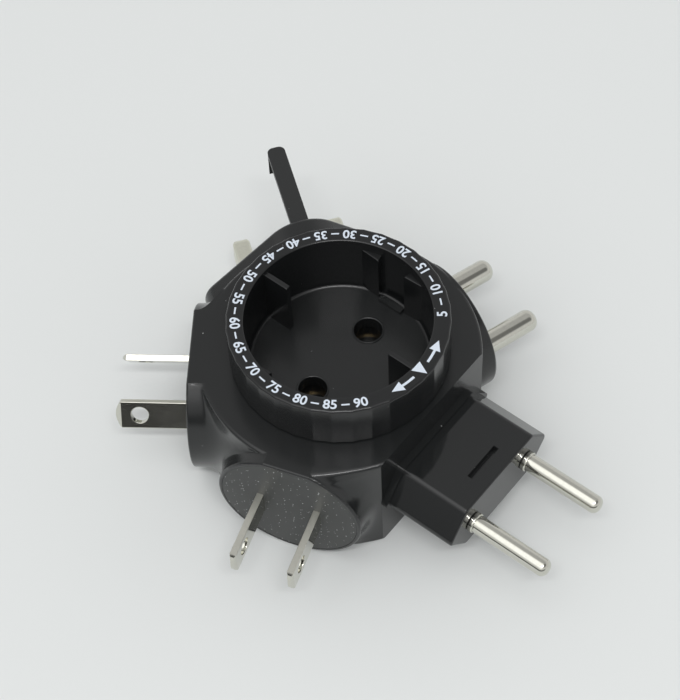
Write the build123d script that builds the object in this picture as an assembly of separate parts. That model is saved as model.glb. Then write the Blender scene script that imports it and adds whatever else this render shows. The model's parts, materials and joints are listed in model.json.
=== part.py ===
"""Star-shaped travel plug adapter: a turning socket dial on a hub with five plug sides.

Millimetres. +Z is up, the hub stands on z = 0 and the dial turns about Z.
Each plug side is modelled along +X, with the plug axis at its own zero, and is
then lifted to the plug height and turned to its place round the hub.
"""
import os
from math import asin, atan2, cos, hypot, radians, sin, tan

from build123d import *

# Socket and dial
RECESS_R = 19.7
SOCKET_DEPTH = 16.0
RING_BAND = 3.8
RING_RISE = 11.8
RING_FLUTES = 36
FLUTE_DEPTH = 0.15
CUP_WALL = 1.5
FLOOR_T = 3.0
SOCKET_PITCH = 19.0
SOCKET_HOLE_R = 3.0
FIN_LENGTH = 6.2
FIN_T = 1.2
FIN_DROP = 1.0
WEDGE_RISE = 1.1
WEDGE_NEAR = 11.0
WEDGE_FAR = 24.0
WEDGE_DROP = 2.6
CHANNEL_PAD = 1.4
CHANNEL_PAD_H = 0.8
RUN_CLEAR = 0.3

# Hub and bosses
SHELF = 6.7
TOP_RISE = 15.2
HUB_EDGE = 0.8
BOSS_R = 16.0
AU_BOSS_R = 17.9
BOSS_PROUD = 1.8
BOSS_EDGE = 0.5
RIM_LAND = 0.3
WALL = 2.0
TOP_WALL = 2.0
PLATE_T = 2.2
CAVITY_CLEAR = 1.8
PLUG_COUNT = 5

# Round-pin side
ROUND_BOSS_R = 15.2
ROUND_PROUD = 0.4
ROUND_PIN_R = 2.54
ROUND_PIN_PITCH = 16.66
ROUND_PIN_LENGTH = 15.0
ROUND_PIN_NOSE = 2.0
ROUND_PIN_DROP = 0.4
ROUND_SHANK_R = 2.0

# Gabled side with three flat pins
GABLE_GAP = 1.6
GABLE_EAVES = 2.8
GABLE_PEAK_LAND = 2.05
GABLE_PEAK_R = 10.0
GABLE_EAVES_R = 6.0
GABLE_FOOT_R = 5.0
GABLE_EDGE = 1.0
GABLE_PIN_RAISE = 3.4
FLAT_PIN_W = 4.0
FLAT_PIN_H = 6.35
FLAT_PIN_LENGTH = 17.7
FLAT_PIN_PITCH = 22.22
FLAT_PIN_NOSE = 1.0
EARTH_PIN_W = 4.0
EARTH_PIN_H = 8.0
EARTH_PIN_LENGTH = 22.7
EARTH_PIN_RAISE = 11.1
EARTH_CROWN_T = 1.4
EARTH_WEB_T = 1.2
EARTH_WEB_H = 5.4
EARTH_TIP_H = 7.0
EARTH_TIP_T = 1.5
EARTH_TIP_R = 1.4
GABLE_POCKET_SIDE = 0.5
GABLE_POCKET_DEPTH = 9.0

# Blades
BLADE_W = 6.35
BLADE_T = 1.5
BLADE_HOLE_R = 1.9
BLADE_HOLE_BACK = 5.3
BLADE_NOSE = 1.1
BLADE_BEVEL = 0.45
US_BLADE_PITCH = 12.7
US_BLADE_LENGTH = 16.4
US_BLADE_DROP = 0.7
AU_BLADE_PITCH = 14.4
AU_BLADE_LENGTH = 17.0
AU_BLADE_DROP = 0.9
AU_BLADE_LEAN = 30.0

# Euro plug
EURO_CUT = 5.6
EURO_WALL = 2.2
EURO_COLLAR_T = 1.5
EURO_COLLAR_LAP = 0.9
EURO_BLOCK_LENGTH = 16.1
EURO_HALF_W = 17.2
EURO_TOP_HALF_W = 11.6
EURO_HALF_H = 6.85
EURO_SIDE_R = 1.4
EURO_EDGE = 0.5
EURO_SPIGOT_W = 26.0
EURO_SPIGOT_H = 9.0
EURO_SLOT_L = 9.3
EURO_SLOT_W = 1.3
EURO_SLOT_DEPTH = 1.6
EURO_SLOT_BACK = 4.4
EURO_PIN_R = 2.0
EURO_PIN_PITCH = 18.7
EURO_PIN_LENGTH = 19.3
EURO_PIN_NOSE = 1.6
EURO_PIN_COLLAR_R = 2.3
EURO_PIN_COLLAR_L = 1.2
EURO_SHANK_R = 1.6
EURO_TAIL = 2.4

# Contacts and rotor
TAIL = 5.8
BLOCK_WALL = 1.6
BLOCK_FLANGE_T = 1.6
CLIP_T = 0.5
CLIP_BORE_R = 2.2
CLIP_SLIT = 1.2
CLIP_LEAD_R = 3.6
CLIP_DROP = 6.0
CLIP_DEPTH = 9.5
PAD_INSET = 5.1
STRIP_T = 0.8
STRIP_W = 3.0
PAD_W = 4.0
PAD_ANGLE = 20.0
LEVEL = 1.3
RETAINER_LAP = 1.2
RETAINER_T = 2.5

# Base cover and screws
COVER_T = 2.0
COVER_RIM = 1.3
LEDGE = 1.2
LEDGE_T = 1.5
POST_R = 2.4
POST_TOP = 12.0
WEB_T = 2.0
PIVOT_R = 3.0
PIVOT_RISE = 6.0
PIVOT_GAP = 2.5
SCREW_R = 1.1
SCREW_HEAD_R = 1.9
SCREW_HEAD_T = 1.2
SCREW_SINK = 0.3
SCREW_LENGTH = 7.0
ROTOR_SCREW_COUNT = 3
ROTOR_SCREW_BITE = 2.0
ROTOR_SCREW_EDGE = 0.6

# Radii and levels that follow from the sizes above
PLUG_STEP = 360 / PLUG_COUNT
RING_R = RECESS_R + RING_BAND
HUB_R = RING_R + SHELF
CUP_R = RECESS_R + CUP_WALL
NECK_R = CUP_R + RUN_CLEAR
RETAINER_R = NECK_R + RETAINER_LAP
CAVITY_R = RETAINER_R + CAVITY_CLEAR
CLIP_R = CLIP_BORE_R + CLIP_T
BLOCK_R = SOCKET_PITCH / 2 + CLIP_R + BLOCK_WALL
ROTOR_SCREW_RING_R = RECESS_R - SCREW_R - ROTOR_SCREW_EDGE
FLANGE_R = ROTOR_SCREW_RING_R - SCREW_R - ROTOR_SCREW_EDGE
PLUG_Z = BOSS_R
TOP_Z = PLUG_Z + TOP_RISE
RING_TOP = TOP_Z + RING_RISE
FLOOR_TOP = RING_TOP - SOCKET_DEPTH
FLOOR_Z = FLOOR_TOP - FLOOR_T
RETAINER_Z = FLOOR_Z - RETAINER_T
BLOCK_Z = COVER_T + PIVOT_GAP
BORE_R = PLUG_Z - COVER_T - LEDGE_T - RUN_CLEAR
FACE_X = HUB_R + BOSS_PROUD
ROUND_FACE_X = HUB_R + ROUND_PROUD
FLAT_X = HUB_R - EURO_CUT
COLLAR_X = FLAT_X + EURO_COLLAR_T
BLOCK_END_X = COLLAR_X + EURO_BLOCK_LENGTH
WALL_X = FLAT_X - EURO_WALL
PAD_R = WALL_X - PAD_INSET
WIPER_R = PAD_R - RUN_CLEAR
COVER_R = FLAT_X - COVER_RIM
POST_RING_R = COVER_R - LEDGE - POST_R
GABLE_HALF = FACE_X * sin(radians(PLUG_STEP)) - AU_BOSS_R * cos(radians(PLUG_STEP)) - GABLE_GAP
GABLE_TOP = GABLE_PIN_RAISE + EARTH_PIN_RAISE + EARTH_PIN_H / 2 + GABLE_PEAK_LAND

# Places round the hub, counted in steps from the Euro plug
EURO, ROUND, GABLE, AU, US = range(PLUG_COUNT)

UPWARD = (Align.CENTER, Align.CENTER, Align.MIN)
OUTWARD = (Align.MIN, Align.CENTER, Align.CENTER)


def at_plug(piece, step):
    """Lift a piece modelled along +X to the plug height and turn it to its side."""
    return Pos(0, 0, PLUG_Z) * Rot(0, 0, step * PLUG_STEP) * piece


def disc(radius, low, high):
    """An upright round solid between two levels."""
    return Pos(0, 0, low) * Cylinder(radius, high - low, align=UPWARD)


def rod(radius, start, end):
    """A round bar along +X."""
    return Pos(start, 0, 0) * Rot(0, 90, 0) * Cylinder(radius, end - start, align=UPWARD)


def bar(start, end, width, height):
    """A square-edged bar along +X."""
    return Pos(start, 0, 0) * Box(end - start, width, height, align=OUTWARD)


def end_edges(piece):
    """Edges of the outermost face along +X."""
    return piece.faces().sort_by(Axis.X)[-1].outer_wire().edges()


def boss_outline(radius, inset):
    """A boss's round outline facing +X, cut flush with the hub's top and with its foot."""
    shape = Circle(radius)
    if radius > TOP_RISE:
        shape -= Pos(0, TOP_RISE) * Rectangle(2 * radius, radius, align=(Align.CENTER, Align.MIN))
    if radius > BOSS_R:
        shape -= Pos(0, -BOSS_R) * Rectangle(2 * radius, radius, align=(Align.CENTER, Align.MAX))
    if inset:
        shape = offset(shape, -inset)
    return Plane.YZ * shape


def boss_slab(radius, start, end, inset):
    """A slab of a boss's outline between two distances from the axis."""
    return Pos(start, 0, 0) * extrude(boss_outline(radius, inset), end - start)


def boss(radius, reach):
    """A boss from the hub's axis, with its outer rim rounded."""
    return fillet(end_edges(boss_slab(radius, 0, reach, 0)), BOSS_EDGE)


def gable_outline(inset):
    """The flat-pin side's outline: a gable with a soft peak, facing +X.

    The slope is the one whose rounded peak comes out at the gable's top.
    """
    rise = GABLE_TOP - GABLE_PEAK_R - GABLE_EAVES
    slope = atan2(rise, GABLE_HALF) + asin(GABLE_PEAK_R / hypot(rise, GABLE_HALF))
    peak = GABLE_EAVES + GABLE_HALF * tan(slope)
    line = Polyline(
        (-GABLE_HALF, -BOSS_R),
        (GABLE_HALF, -BOSS_R),
        (GABLE_HALF, GABLE_EAVES),
        (0, peak),
        (-GABLE_HALF, GABLE_EAVES),
        close=True,
    )
    shape = make_face(line)
    shape = fillet(shape.vertices().sort_by(Axis.Y)[-1], GABLE_PEAK_R)
    shape = fillet(shape.vertices().sort_by(Axis.Y)[:2], GABLE_FOOT_R)
    eaves = shape.vertices().sort_by(lambda corner: abs(corner.Y - GABLE_EAVES))[:2]
    shape = fillet(eaves, GABLE_EAVES_R)
    if inset:
        shape = offset(shape, -inset)
    return Plane.YZ * shape


def gable_slab(start, end, inset):
    """A slab of the gable outline between two distances from the axis."""
    return Pos(start, 0, 0) * extrude(gable_outline(inset), end - start)


def fluted_outline():
    """The grip ring's outline: a circle of shallow concave flutes that meet in ridges."""
    step = 360 / RING_FLUTES
    valley = RING_R * cos(radians(step / 2)) - FLUTE_DEPTH
    flutes = []
    for count in range(RING_FLUTES):
        spots = ((RING_R, -step / 2), (valley, 0), (RING_R, step / 2))
        turned = [(reach, radians(count * step + angle)) for reach, angle in spots]
        flutes.append(ThreePointArc(*[(reach * cos(turn), reach * sin(turn)) for reach, turn in turned]))
    return make_face(flutes)


def euro_outline(lap):
    """Six-sided Euro plug section, widest at the middle, grown by a lap."""
    half_w = EURO_HALF_W + lap
    top_w = EURO_TOP_HALF_W + lap / 2
    half_h = EURO_HALF_H + lap
    line = Polyline(
        (-half_w, 0),
        (-top_w, -half_h),
        (top_w, -half_h),
        (half_w, 0),
        (top_w, half_h),
        (-top_w, half_h),
        close=True,
    )
    shape = make_face(line)
    return Plane.YZ * fillet(shape.vertices(), EURO_SIDE_R)


def pair(piece, pitch):
    """Two copies of a piece, at minus and plus half the pitch across the plug."""
    return Pos(0, -pitch / 2, 0) * piece, Pos(0, pitch / 2, 0) * piece


def strip(start, side, level, radius):
    """Flat contact strip from a point to a pad that faces the axis at a radius."""
    turn = radians(PAD_ANGLE) * side
    middle = (radius * cos(turn), radius * sin(turn))
    across = (-sin(turn) * PAD_W / 2, cos(turn) * PAD_W / 2)
    x, y = start
    line = Polyline(
        (x, y - STRIP_W / 2),
        (x, y + STRIP_W / 2),
        (middle[0] + across[0], middle[1] + across[1]),
        (middle[0] - across[0], middle[1] - across[1]),
        close=True,
    )
    return Pos(0, 0, level - STRIP_T / 2) * extrude(make_face(line), STRIP_T)


def level_of(side):
    """Line strips run above the plug axis and neutral strips below it."""
    return -side * LEVEL


def screw(shank):
    """Pan-head screw, head downward, with its shank pointing up from z = 0."""
    return disc(SCREW_HEAD_R, -SCREW_HEAD_T, 0) + disc(SCREW_R, 0, shank)


# Outer form of the housing
hub = disc(HUB_R, 0, TOP_Z)
hub = fillet(hub.edges().filter_by(GeomType.CIRCLE), HUB_EDGE)
hub -= Pos(FLAT_X, 0, 0) * Box(HUB_R, 3 * HUB_R, 3 * TOP_Z, align=OUTWARD)
outer = hub
outer += at_plug(boss(AU_BOSS_R, FACE_X), AU)
outer += at_plug(boss(BOSS_R, FACE_X), US)
outer += at_plug(boss(ROUND_BOSS_R, ROUND_FACE_X), ROUND)
gable = gable_slab(0, FACE_X, 0)
gable = fillet(end_edges(gable), GABLE_EDGE)
gable = at_plug(gable, GABLE)
gable -= disc(RING_R + RIM_LAND + GABLE_EDGE, TOP_Z, TOP_Z + GABLE_TOP)
outer += gable

# Hollow of the housing
hollow = disc(CAVITY_R, COVER_T + LEDGE_T, TOP_Z - TOP_WALL)
hollow += disc(COVER_R - LEDGE, COVER_T, COVER_T + LEDGE_T)
for side in (AU, US):
    hollow += at_plug(rod(BORE_R, 0, FACE_X - PLATE_T), side)
hollow += at_plug(rod(BORE_R, 0, ROUND_FACE_X - PLATE_T), ROUND)
pocket_x = FACE_X - PLATE_T - GABLE_POCKET_DEPTH
pocket_high = TOP_RISE - TOP_WALL
pocket_low = WALL - BOSS_R
pocket_w = FLAT_PIN_PITCH + FLAT_PIN_W + 2 * GABLE_POCKET_SIDE
pocket = bar(pocket_x, FACE_X - PLATE_T, pocket_w, pocket_high - pocket_low)
pocket = Pos(0, 0, (pocket_high + pocket_low) / 2) * pocket
pocket &= gable_slab(pocket_x, FACE_X - PLATE_T, WALL)
hollow += at_plug(pocket, GABLE)
hollow -= Pos(WALL_X, 0, 0) * Box(HUB_R, 2 * CAVITY_R, 3 * TOP_Z, align=OUTWARD)
hollow += at_plug(bar(WALL_X - 2 * EURO_TAIL, WALL_X, EURO_SPIGOT_W, EURO_SPIGOT_H), EURO)
hollow += disc(RETAINER_R + RUN_CLEAR, RETAINER_Z - RUN_CLEAR, FLOOR_Z + RUN_CLEAR)

# Seats that open the housing
us_seat = boss_slab(BOSS_R, FACE_X - PLATE_T, FACE_X, BOSS_EDGE + RIM_LAND)
au_seat = boss_slab(AU_BOSS_R, FACE_X - PLATE_T, FACE_X, BOSS_EDGE + RIM_LAND)
round_seat = boss_slab(ROUND_BOSS_R, ROUND_FACE_X - PLATE_T, ROUND_FACE_X, BOSS_EDGE + RIM_LAND)
gable_seat = gable_slab(FACE_X - PLATE_T, FACE_X, GABLE_EDGE + RIM_LAND)
spigot = bar(WALL_X, FLAT_X, EURO_SPIGOT_W, EURO_SPIGOT_H)

housing = outer - hollow
sleeve = disc(CAVITY_R, FLOOR_Z + RUN_CLEAR, TOP_Z - TOP_WALL)
sleeve &= Box(2 * WALL_X, 2 * CAVITY_R, 3 * TOP_Z)
housing += sleeve
for post in PolarLocations(POST_RING_R, PLUG_COUNT, start_angle=PLUG_STEP / 2):
    tall = disc(POST_R, COVER_T, POST_TOP)
    tall += Pos(0, 0, COVER_T) * Box(
        CAVITY_R - POST_RING_R + WEB_T, WEB_T, POST_TOP - COVER_T, align=(Align.MIN, Align.CENTER, Align.MIN)
    )
    housing += post * tall
for post in PolarLocations(POST_RING_R, PLUG_COUNT, start_angle=PLUG_STEP / 2):
    housing -= post * disc(SCREW_R, COVER_T, SCREW_SINK + SCREW_HEAD_T + SCREW_LENGTH)
housing -= disc(COVER_R, 0, COVER_T)
housing -= disc(NECK_R, FLOOR_Z, TOP_Z)
housing -= at_plug(us_seat, US)
housing -= at_plug(au_seat, AU)
housing -= at_plug(round_seat, ROUND)
housing -= at_plug(gable_seat, GABLE)
housing -= at_plug(spigot, EURO)

# Base cover with the pivot that steadies the rotor
cover = disc(COVER_R, 0, COVER_T)
cover += disc(PIVOT_R, COVER_T, COVER_T + PIVOT_RISE)
for post in PolarLocations(POST_RING_R, PLUG_COUNT, start_angle=PLUG_STEP / 2):
    cover -= post * disc(SCREW_R, 0, COVER_T)
    cover -= post * disc(SCREW_HEAD_R, 0, SCREW_SINK + SCREW_HEAD_T)
housing_screws = [
    post * (Pos(0, 0, SCREW_SINK + SCREW_HEAD_T) * screw(SCREW_LENGTH))
    for post in PolarLocations(POST_RING_R, PLUG_COUNT, start_angle=PLUG_STEP / 2)
]

# Dial: fluted ring and cup in one moulding, with fins and guide wedges in the recess
ring_low = TOP_Z + RUN_CLEAR
dial = Pos(0, 0, ring_low) * extrude(fluted_outline(), RING_TOP - ring_low)
dial += disc(CUP_R, FLOOR_Z, ring_low)
dial -= disc(RECESS_R, FLOOR_Z, RING_TOP)
fin_high = RING_TOP - FIN_DROP - FLOOR_TOP
wedge_high = RING_TOP - WEDGE_DROP - FLOOR_TOP
fin = Pos(RECESS_R - FIN_LENGTH, 0, FLOOR_TOP) * Box(
    FIN_LENGTH + CUP_WALL / 2, FIN_T, fin_high, align=(Align.MIN, Align.CENTER, Align.MIN)
)
near = radians(WEDGE_NEAR)
far = radians(WEDGE_FAR)
root = RECESS_R + CUP_WALL / 2
tip = RECESS_R - WEDGE_RISE
wedge_line = Polyline(
    (root * cos(far), root * sin(far)),
    (RECESS_R * cos(far), RECESS_R * sin(far)),
    (tip * cos(near), tip * sin(near)),
    (root * cos(near), root * sin(near)),
    close=True,
)
wedge = Pos(0, 0, FLOOR_TOP) * extrude(make_face(wedge_line), wedge_high)
for half_turn in (0, 180):
    dial += Rot(0, 0, half_turn) * fin
    dial += Rot(0, 0, half_turn + 90) * wedge
    dial += Rot(0, 0, half_turn + 90) * mirror(wedge, Plane.XZ)

# Socket floor with its two pin holes and a small pad in each guide channel
floor = disc(RECESS_R, FLOOR_Z, FLOOR_TOP)
channel = 2 * (RECESS_R - CHANNEL_PAD) * tan(near)
pad = Pos(RECESS_R - 2 * CHANNEL_PAD, 0, FLOOR_TOP) * Box(
    CHANNEL_PAD, channel - FIN_T, CHANNEL_PAD_H, align=(Align.MIN, Align.CENTER, Align.MIN)
)
for half_turn in (0, 180):
    floor += Rot(0, 0, half_turn + 90) * pad
for hole in GridLocations(0, SOCKET_PITCH, 1, 2):
    floor -= hole * disc(SOCKET_HOLE_R, FLOOR_Z, FLOOR_TOP)
rotor_screw_places = PolarLocations(ROTOR_SCREW_RING_R, ROTOR_SCREW_COUNT)
for place in rotor_screw_places:
    floor -= place * disc(SCREW_R, FLOOR_Z, FLOOR_Z + ROTOR_SCREW_BITE)

# Contact block under the floor, with its clips and wipers
clip_high = FLOOR_Z - CLIP_DROP
clip_low = clip_high - CLIP_DEPTH
clip_tube = disc(CLIP_R, clip_low, clip_high) - disc(CLIP_BORE_R, clip_low, clip_high)
clip_tube -= Pos(0, 0, clip_low) * Box(
    2 * CLIP_R, CLIP_SLIT, CLIP_DEPTH, align=(Align.MAX, Align.CENTER, Align.MIN)
)
clip_line, clip_neutral = pair(clip_tube, SOCKET_PITCH)
wipers = {}
for side, name in ((-1, "wiper_line"), (1, "wiper_neutral")):
    arm = strip((0, side * SOCKET_PITCH / 2), side, level_of(side), WIPER_R)
    arm = Pos(0, 0, PLUG_Z) * arm
    arm -= Pos(0, side * SOCKET_PITCH / 2, 0) * disc(CLIP_R, clip_low, clip_high)
    arm &= Pos(CLIP_BORE_R, 0, 0) * Box(HUB_R, 2 * HUB_R, 3 * TOP_Z, align=OUTWARD)
    wipers[name] = arm
block = disc(BLOCK_R, BLOCK_Z, FLOOR_Z)
block += disc(FLANGE_R, FLOOR_Z - BLOCK_FLANGE_T, FLOOR_Z)
block -= disc(PIVOT_R + RUN_CLEAR, BLOCK_Z, COVER_T + PIVOT_RISE + RUN_CLEAR)
for hole in GridLocations(0, SOCKET_PITCH, 1, 2):
    block -= hole * disc(CLIP_R, clip_low, clip_high)
    block -= hole * disc(CLIP_LEAD_R, clip_high, FLOOR_Z)
for arm in wipers.values():
    block -= arm

# Retainer that holds the dial down, and its screws
retainer = disc(RETAINER_R, RETAINER_Z, FLOOR_Z) - disc(BLOCK_R, RETAINER_Z, FLOOR_Z)
retainer -= disc(FLANGE_R, FLOOR_Z - BLOCK_FLANGE_T, FLOOR_Z)
for place in rotor_screw_places:
    retainer -= place * disc(SCREW_R, RETAINER_Z, FLOOR_Z)
rotor_screws = [
    place * (Pos(0, 0, RETAINER_Z) * screw(RETAINER_T + ROTOR_SCREW_BITE)) for place in rotor_screw_places
]


def blade(length, lean):
    """Flat blade along +X with a bowed, bevelled nose and a hole, leaned about its length."""
    root_x = FACE_X - PLATE_T - TAIL
    tip_x = FACE_X + length
    shoulder = tip_x - BLADE_NOSE
    half = BLADE_W / 2
    sides = Polyline((shoulder, half), (root_x, half), (root_x, -half), (shoulder, -half))
    nose = ThreePointArc((shoulder, -half), (tip_x, 0), (shoulder, half))
    flat = make_face([sides, nose])
    body = extrude(Plane.XZ * flat, BLADE_T / 2, both=True)
    body = chamfer(body.edges().filter_by(GeomType.CIRCLE), BLADE_BEVEL)
    across = Pos(tip_x - BLADE_HOLE_BACK, 0, 0) * Rot(90, 0, 0) * Cylinder(BLADE_HOLE_R, 2 * BLADE_T)
    return Rot(lean, 0, 0) * (body - across)


def round_pin(radius, start, end, nose):
    """Round pin along +X with a rounded nose."""
    pin = rod(radius, start, end)
    return fillet(end_edges(pin), nose)


def flat_pin(width, height, start, end, nose):
    """Rectangular pin along +X with a chamfered nose."""
    pin = bar(start, end, width, height)
    return chamfer(end_edges(pin), nose)


def earth_moulding(root, face, end):
    """Moulded earth pin along +X, its top at zero: a crown on a web, with a deep rounded tip.

    The root keeps the pin's full section where it is held in the plate.
    """
    half = EARTH_PIN_W / 2
    tip = Pos(face, 0) * Rectangle(end - face, EARTH_PIN_W, align=(Align.MIN, Align.CENTER))
    tip = fillet(tip.vertices().sort_by(Axis.X)[-2:], EARTH_TIP_R)
    pin = extrude(tip, -EARTH_TIP_H)
    span = end - EARTH_TIP_T - face
    for side in (-1, 1):
        flank = Box(span, half - EARTH_WEB_T / 2, EARTH_TIP_H, align=(Align.MIN, Align.CENTER, Align.MAX))
        pin -= Pos(face, side * (half + EARTH_WEB_T / 2) / 2, -EARTH_CROWN_T) * flank
    under = Box(span, EARTH_PIN_W, EARTH_TIP_H, align=(Align.MIN, Align.CENTER, Align.MAX))
    pin -= Pos(face, 0, -EARTH_WEB_H) * under
    return pin + Pos(0, 0, -EARTH_PIN_H / 2) * bar(root, face, EARTH_PIN_W, EARTH_PIN_H)


# Two-blade sides
us_tail = FACE_X - PLATE_T - TAIL
us_blades = pair(Pos(0, 0, -US_BLADE_DROP) * blade(US_BLADE_LENGTH, 0), US_BLADE_PITCH)
us_plate = us_seat
for piece in us_blades:
    us_plate -= piece
au_blades = (
    Pos(0, -AU_BLADE_PITCH / 2, -AU_BLADE_DROP) * blade(AU_BLADE_LENGTH, -AU_BLADE_LEAN),
    Pos(0, AU_BLADE_PITCH / 2, -AU_BLADE_DROP) * blade(AU_BLADE_LENGTH, AU_BLADE_LEAN),
)
au_plate = au_seat
for piece in au_blades:
    au_plate -= piece

# Round-pin side
round_tail = ROUND_FACE_X - PLATE_T - TAIL
round_tip = ROUND_FACE_X + ROUND_PIN_LENGTH
round_blank = round_pin(ROUND_PIN_R, ROUND_FACE_X, round_tip, ROUND_PIN_NOSE)
round_blank += rod(ROUND_SHANK_R, round_tail, ROUND_FACE_X)
round_pins = pair(Pos(0, 0, -ROUND_PIN_DROP) * round_blank, ROUND_PIN_PITCH)
round_plate = round_seat
for piece in round_pins:
    round_plate -= piece

# Gabled side: two metal pins and a moulded earth pin
flat_blank = flat_pin(FLAT_PIN_W, FLAT_PIN_H, us_tail, FACE_X + FLAT_PIN_LENGTH, FLAT_PIN_NOSE)
flat_level = GABLE_PIN_RAISE - EARTH_PIN_RAISE
flat_pins = pair(Pos(0, 0, flat_level) * flat_blank, FLAT_PIN_PITCH)
earth_blank = earth_moulding(FACE_X - PLATE_T, FACE_X, FACE_X + EARTH_PIN_LENGTH)
earth_pin = Pos(0, 0, GABLE_PIN_RAISE + EARTH_PIN_RAISE + EARTH_PIN_H / 2) * earth_blank
gable_plate = gable_seat - earth_pin
for piece in flat_pins:
    gable_plate -= piece

# Euro plug: collar, block and spigot in one moulding
euro_block = Pos(COLLAR_X, 0, 0) * extrude(euro_outline(0), EURO_BLOCK_LENGTH)
euro_block = fillet(end_edges(euro_block), EURO_EDGE)
euro_body = euro_block + Pos(FLAT_X, 0, 0) * extrude(euro_outline(EURO_COLLAR_LAP), EURO_COLLAR_T)
euro_body += spigot
slot = Pos(BLOCK_END_X - EURO_SLOT_BACK, 0, EURO_HALF_H) * Box(
    EURO_SLOT_W, EURO_SLOT_L, EURO_SLOT_DEPTH, align=(Align.CENTER, Align.CENTER, Align.MAX)
)
euro_body -= slot
euro_tail = WALL_X - EURO_TAIL
euro_blank = round_pin(EURO_PIN_R, BLOCK_END_X, BLOCK_END_X + EURO_PIN_LENGTH, EURO_PIN_NOSE)
euro_blank += rod(EURO_PIN_COLLAR_R, BLOCK_END_X, BLOCK_END_X + EURO_PIN_COLLAR_L)
euro_blank += rod(EURO_SHANK_R, euro_tail, BLOCK_END_X)
euro_pins = pair(euro_blank, EURO_PIN_PITCH)
for piece in euro_pins:
    euro_body -= piece

# Fixed contact strips from each pin's tail to the circle that the wipers sweep
tails = {
    "us": (US, us_tail, US_BLADE_PITCH),
    "au": (AU, us_tail, AU_BLADE_PITCH),
    "euro": (EURO, euro_tail, EURO_PIN_PITCH),
    "round": (ROUND, round_tail, ROUND_PIN_PITCH),
    "gable": (GABLE, us_tail, FLAT_PIN_PITCH),
}
strips = {}
for name, (place, tail, pitch) in tails.items():
    for side, pole in ((-1, "line"), (1, "neutral")):
        piece = strip((tail, side * pitch / 2), side, level_of(side), PAD_R)
        if place == GABLE:
            reach = level_of(side) + STRIP_T / 2 - flat_level + FLAT_PIN_H / 2
            riser = Box(STRIP_T, STRIP_W, reach, align=(Align.MAX, Align.CENTER, Align.MIN))
            piece += Pos(tail, side * pitch / 2, flat_level - FLAT_PIN_H / 2) * riser
        strips[f"strip_{name}_{pole}"] = at_plug(piece, place)

nodes = {
    "main_housing": housing,
    "base_cover": cover,
    "housing_screws": Compound(children=housing_screws),
    "dial": dial,
    "socket_floor": floor,
    "contact_block": block,
    "clip_line": clip_line,
    "clip_neutral": clip_neutral,
    "wiper_line": wipers["wiper_line"],
    "wiper_neutral": wipers["wiper_neutral"],
    "retainer": retainer,
    "rotor_screws": Compound(children=rotor_screws),
    "us_plate": at_plug(us_plate, US),
    "us_blade_line": at_plug(us_blades[0], US),
    "us_blade_neutral": at_plug(us_blades[1], US),
    "au_plate": at_plug(au_plate, AU),
    "au_blade_line": at_plug(au_blades[0], AU),
    "au_blade_neutral": at_plug(au_blades[1], AU),
    "round_plate": at_plug(round_plate, ROUND),
    "round_pin_line": at_plug(round_pins[0], ROUND),
    "round_pin_neutral": at_plug(round_pins[1], ROUND),
    "gable_plate": at_plug(gable_plate, GABLE),
    "flat_pin_line": at_plug(flat_pins[0], GABLE),
    "flat_pin_neutral": at_plug(flat_pins[1], GABLE),
    "earth_pin": at_plug(earth_pin, GABLE),
    "euro_body": at_plug(euro_body, EURO),
    "euro_pin_line": at_plug(euro_pins[0], EURO),
    "euro_pin_neutral": at_plug(euro_pins[1], EURO),
}
nodes.update(strips)

os.makedirs("parts", exist_ok=True)
for name, shape in nodes.items():
    export_step(shape, f"parts/{name}.step")
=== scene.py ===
"""Five-sided travel plug adapter: the finish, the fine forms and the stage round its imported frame.

Metres, +Z up. The adapter stands on z = 0 and its dial turns about Z. The file is laid out as a
Blender add-on: settings, one operator for each group of pieces, one panel, then a main function.
"""
import json
from math import asin, atan2, cos, hypot, pi, radians, sin, tan

import bmesh
import bpy
import numpy as np
from mathutils import Matrix, Vector


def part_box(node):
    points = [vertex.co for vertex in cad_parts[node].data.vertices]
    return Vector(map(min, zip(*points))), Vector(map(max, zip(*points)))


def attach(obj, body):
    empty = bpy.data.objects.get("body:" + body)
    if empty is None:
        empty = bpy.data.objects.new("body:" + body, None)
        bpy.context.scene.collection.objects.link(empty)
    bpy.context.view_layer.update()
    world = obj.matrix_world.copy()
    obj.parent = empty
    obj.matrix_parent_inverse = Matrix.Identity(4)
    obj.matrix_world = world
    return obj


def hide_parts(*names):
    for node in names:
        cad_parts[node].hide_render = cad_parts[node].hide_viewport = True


bl_info = {
    "name": "Travel Plug Adapter",
    "version": (1, 0, 0),
    "blender": (4, 5, 0),
    "location": "3D View > Sidebar > Adapter",
    "description": "Builds the visible pieces of a travel plug adapter round its CAD frame",
    "category": "Object",
}

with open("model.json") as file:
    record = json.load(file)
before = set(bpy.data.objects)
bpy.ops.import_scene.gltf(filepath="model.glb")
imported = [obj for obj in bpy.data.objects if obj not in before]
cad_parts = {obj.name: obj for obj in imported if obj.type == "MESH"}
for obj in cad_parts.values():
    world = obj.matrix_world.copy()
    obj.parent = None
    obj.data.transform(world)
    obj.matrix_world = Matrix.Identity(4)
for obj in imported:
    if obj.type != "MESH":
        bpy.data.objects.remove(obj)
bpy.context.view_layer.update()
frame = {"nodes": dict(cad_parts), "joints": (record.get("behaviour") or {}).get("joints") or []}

MM = 0.001
WELD = 1e-7
TINY = 1e-10
SMOOTH_UP_TO = 35.0
EURO, ROUND, GABLE, AU, US = range(5)
PLUG_STEP = radians(72)
POLES = ((-1, "line"), (1, "neutral"))
DIAL_LOW, DIAL_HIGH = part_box("dial")
EURO_PIN_LOW, EURO_PIN_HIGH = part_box("euro_pin_line")
PLUG_HEIGHT = (EURO_PIN_LOW.z + EURO_PIN_HIGH.z) / 2
HUB_TOP = frame["joints"][0]["pos_m"][2]


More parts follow.
